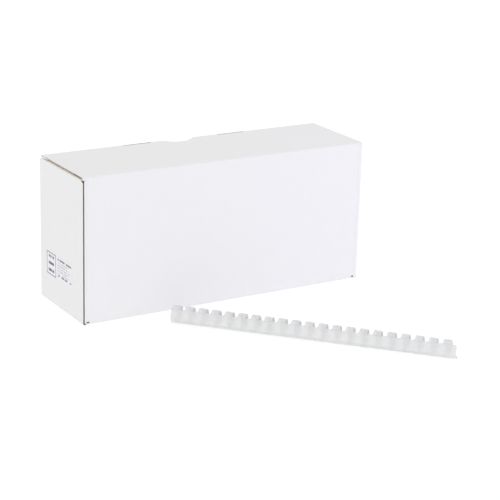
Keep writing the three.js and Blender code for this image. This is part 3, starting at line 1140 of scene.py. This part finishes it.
def build_loose_comb(scene):
    """The comb in front: its spine, and its rings, placed so that their roots lie on the rings' joint.
    """
    settings = scene.binding_comb
    plastic = finish_named("plastic", comb_plastic, settings)
    joint = next(j for j in frame["joints"] if j["name"] == "rings_open")
    along = Vector(joint["axis"]).normalized()
    radius = settings.diameter / 2
    root = Vector((0.0, -radius * math.cos(math.radians(ROOT)), 0.0))
    turn = Matrix.Rotation(math.atan2(along.y, along.x), 4, "Z")
    centre = Vector((joint["pos_m"][0], joint["pos_m"][1], 0.0)) - turn @ root
    place = Matrix.Translation(centre) @ turn

    def finished(mesh):
        remember_sheet(mesh)
        mesh.transform(place)
        face_out(mesh)
        return mesh

    spine = spine_mesh(settings, 40, PLASTIC_BEVEL, plastic)
    spine.transform(Matrix.Translation((settings.spine_shift, 0.0, 0.0)))
    spine = finished(spine)
    add_piece("loose_comb_spine", spine, "loose_comb", ["loose_comb_spine"])

    rings = finished(ring_row(settings, 60, PLASTIC_BEVEL, plastic))
    piece = add_piece("loose_comb_rings", rings, None)
    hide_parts("loose_comb_fingers")
    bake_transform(piece)


def build_packed_combs(scene):
    """Seven rows of combs in the carton. The top rear place is the empty one."""
    settings = scene.binding_comb
    plastic = finish_named("plastic", comb_plastic, settings)
    spine = spine_mesh(settings, 14, 0.0, plastic)
    rings = ring_row(settings, 14, 0.0, plastic)
    shape = bmesh.new()
    shape.from_mesh(spine)
    shape.from_mesh(rings)
    comb = mesh_from("packed_comb", shape)
    comb.materials.append(plastic)
    helper = linked("comb_pattern", comb)
    rows = {}
    for node in frame["nodes"]:
        if node.startswith("packed_comb_"):
            rows.setdefault(int(node.split("_")[2]), []).append(node)
    for row, nodes in sorted(rows.items()):
        nodes.sort(key=lambda node: int(node.split("_")[3]))
        boxes = [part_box(node) for node in nodes]
        middles = [(low + high) / 2 for low, high in boxes]
        mesh = shape_tree("repeat", repeat_tree).make(f"comb_row_{row}", {
            "Pattern": helper, "Count": len(nodes),
            "First place": (0.0, middles[0].y, middles[0].z - settings.diameter / 2),
            "Step": (0.0, middles[1].y - middles[0].y, 0.0), "Plastic": plastic})
        remember_sheet(mesh)
        face_out(mesh)
        add_piece(f"comb_row_{row}", mesh, "carton", nodes)
    bpy.data.objects.remove(helper)


# Stage.

def add_area_light(name, place, aim, size, power, colour):
    lamp = bpy.data.lights.new(name, "AREA")
    lamp.shape = "DISK"
    lamp.size = size
    lamp.energy = power
    lamp.color = colour
    holder = linked(name, lamp)
    holder.location = place
    holder.rotation_mode = "QUATERNION"
    holder.rotation_quaternion = (Vector(aim) - Vector(place)).to_track_quat("-Z", "Y")


def build_stage(scene):
    settings = scene.carton_stage
    half = settings.floor_size / 2
    mesh = bpy.data.meshes.new("pale_floor")
    corners = [(-half, -half), (half, -half), (half, half), (-half, half)]
    mesh.from_pydata([(x, y, 0.0) for x, y in corners], [], [(0, 1, 2, 3)])
    mesh.materials.append(floor_paint())
    linked("pale_floor", mesh)

    world = bpy.data.worlds.new("soft_room")
    world.use_nodes = True
    sky = world.node_tree.nodes["Background"]
    sky.inputs["Color"].default_value = WHITE
    sky.inputs["Strength"].default_value = SKY_STRENGTH
    scene.world = world
    scene.view_settings.view_transform = "Standard"

    add_area_light("front_softbox", **SOFTBOX)

    lens = bpy.data.cameras.new("camera")
    lens.lens = settings.lens
    lens.clip_start = 0.05
    lens.clip_end = 100.0
    camera = linked("camera", lens)
    ahead = Vector((
        math.cos(settings.dip) * math.sin(settings.turn),
        math.cos(settings.dip) * math.cos(settings.turn),
        -math.sin(settings.dip)))
    right = Vector((math.cos(settings.turn), -math.sin(settings.turn), 0.0))
    up = right.cross(ahead)
    leaned_right = math.cos(settings.roll) * right + math.sin(settings.roll) * up
    leaned_up = -math.sin(settings.roll) * right + math.cos(settings.roll) * up
    axes = Matrix((leaned_right, leaned_up, -ahead)).transposed().to_4x4()
    camera.matrix_world = Matrix.Translation(Vector(settings.camera_place)) @ axes
    scene.camera = camera


# Operators.

class COMBCARTON_OT_shell(bpy.types.Operator):
    """Make the carton's rear wall, bottom and front wall"""

    bl_idname = "combcarton.shell"
    bl_label = "Long walls and bottom"

    def execute(self, context):
        build_shell(context.scene)
        return {"FINISHED"}


class COMBCARTON_OT_ends(bpy.types.Operator):
    """Make the two rolled-over end walls"""

    bl_idname = "combcarton.ends"
    bl_label = "End walls"

    def execute(self, context):
        build_end(context.scene, "left", -1)
        build_end(context.scene, "right", 1)
        return {"FINISHED"}


class COMBCARTON_OT_corner_flaps(bpy.types.Operator):
    """Make the four corner flaps between the end walls"""

    bl_idname = "combcarton.corner_flaps"
    bl_label = "Corner flaps"

    def execute(self, context):
        for name, side in (("left", -1), ("right", 1)):
            build_corner_flap(context.scene, f"{name}_front_corner_flap", side, -1)
            build_corner_flap(context.scene, f"{name}_rear_corner_flap", side, 1)
        return {"FINISHED"}


class COMBCARTON_OT_lid(bpy.types.Operator):
    """Make the lid, the tuck flap and the folds that carry them"""

    bl_idname = "combcarton.lid"
    bl_label = "Lid and tuck flap"

    def execute(self, context):
        build_lid(context.scene)
        return {"FINISHED"}


class COMBCARTON_OT_label(bpy.types.Operator):
    """Make the printed label on the left end"""

    bl_idname = "combcarton.label"
    bl_label = "Label"

    def execute(self, context):
        build_label(context.scene)
        return {"FINISHED"}


class COMBCARTON_OT_loose_comb(bpy.types.Operator):
    """Make the comb that lies in front of the carton"""

    bl_idname = "combcarton.loose_comb"
    bl_label = "Loose comb"

    def execute(self, context):
        build_loose_comb(context.scene)
        return {"FINISHED"}


class COMBCARTON_OT_packed_combs(bpy.types.Operator):
    """Make the combs packed in the carton"""

    bl_idname = "combcarton.packed_combs"
    bl_label = "Packed combs"

    def execute(self, context):
        build_packed_combs(context.scene)
        return {"FINISHED"}


class COMBCARTON_OT_stage(bpy.types.Operator):
    """Make the floor, the lights and the camera"""

    bl_idname = "combcarton.stage"
    bl_label = "Stage"

    def execute(self, context):
        build_stage(context.scene)
        return {"FINISHED"}


OPERATORS = (
    COMBCARTON_OT_shell,
    COMBCARTON_OT_ends,
    COMBCARTON_OT_corner_flaps,
    COMBCARTON_OT_lid,
    COMBCARTON_OT_label,
    COMBCARTON_OT_loose_comb,
    COMBCARTON_OT_packed_combs,
    COMBCARTON_OT_stage,
)


class COMBCARTON_PT_panel(bpy.types.Panel):
    """Lists the carton's pieces and their settings"""

    bl_idname = "COMBCARTON_PT_panel"
    bl_label = "Carton of binding combs"
    bl_space_type = "VIEW_3D"
    bl_region_type = "UI"
    bl_category = "Comb carton"

    def draw(self, context):
        layout = self.layout
        for operator in OPERATORS:
            layout.operator(operator.bl_idname)
        for name in SETTINGS:
            group = getattr(context.scene, name)
            box = layout.box()
            for label in group.bl_rna.properties.keys():
                if label not in ("rna_type", "name"):
                    box.prop(group, label)


SETTINGS = {
    "carton_board": BoardSettings,
    "binding_comb": CombSettings,
    "carton_label": LabelSettings,
    "carton_stage": StageSettings,
}
CLASSES = (*SETTINGS.values(), *OPERATORS, COMBCARTON_PT_panel)


def register():
    for cls in CLASSES:
        bpy.utils.register_class(cls)
    for name, group in SETTINGS.items():
        setattr(bpy.types.Scene, name, bpy.props.PointerProperty(type=group))


def unregister():
    for name in SETTINGS:
        delattr(bpy.types.Scene, name)
    for cls in reversed(CLASSES):
        bpy.utils.unregister_class(cls)


def main():
    register()
    bpy.ops.combcarton.shell()
    bpy.ops.combcarton.ends()
    bpy.ops.combcarton.corner_flaps()
    bpy.ops.combcarton.lid()
    bpy.ops.combcarton.label()
    bpy.ops.combcarton.loose_comb()
    bpy.ops.combcarton.packed_combs()
    bpy.ops.combcarton.stage()


if __name__ == "__main__":
    main()
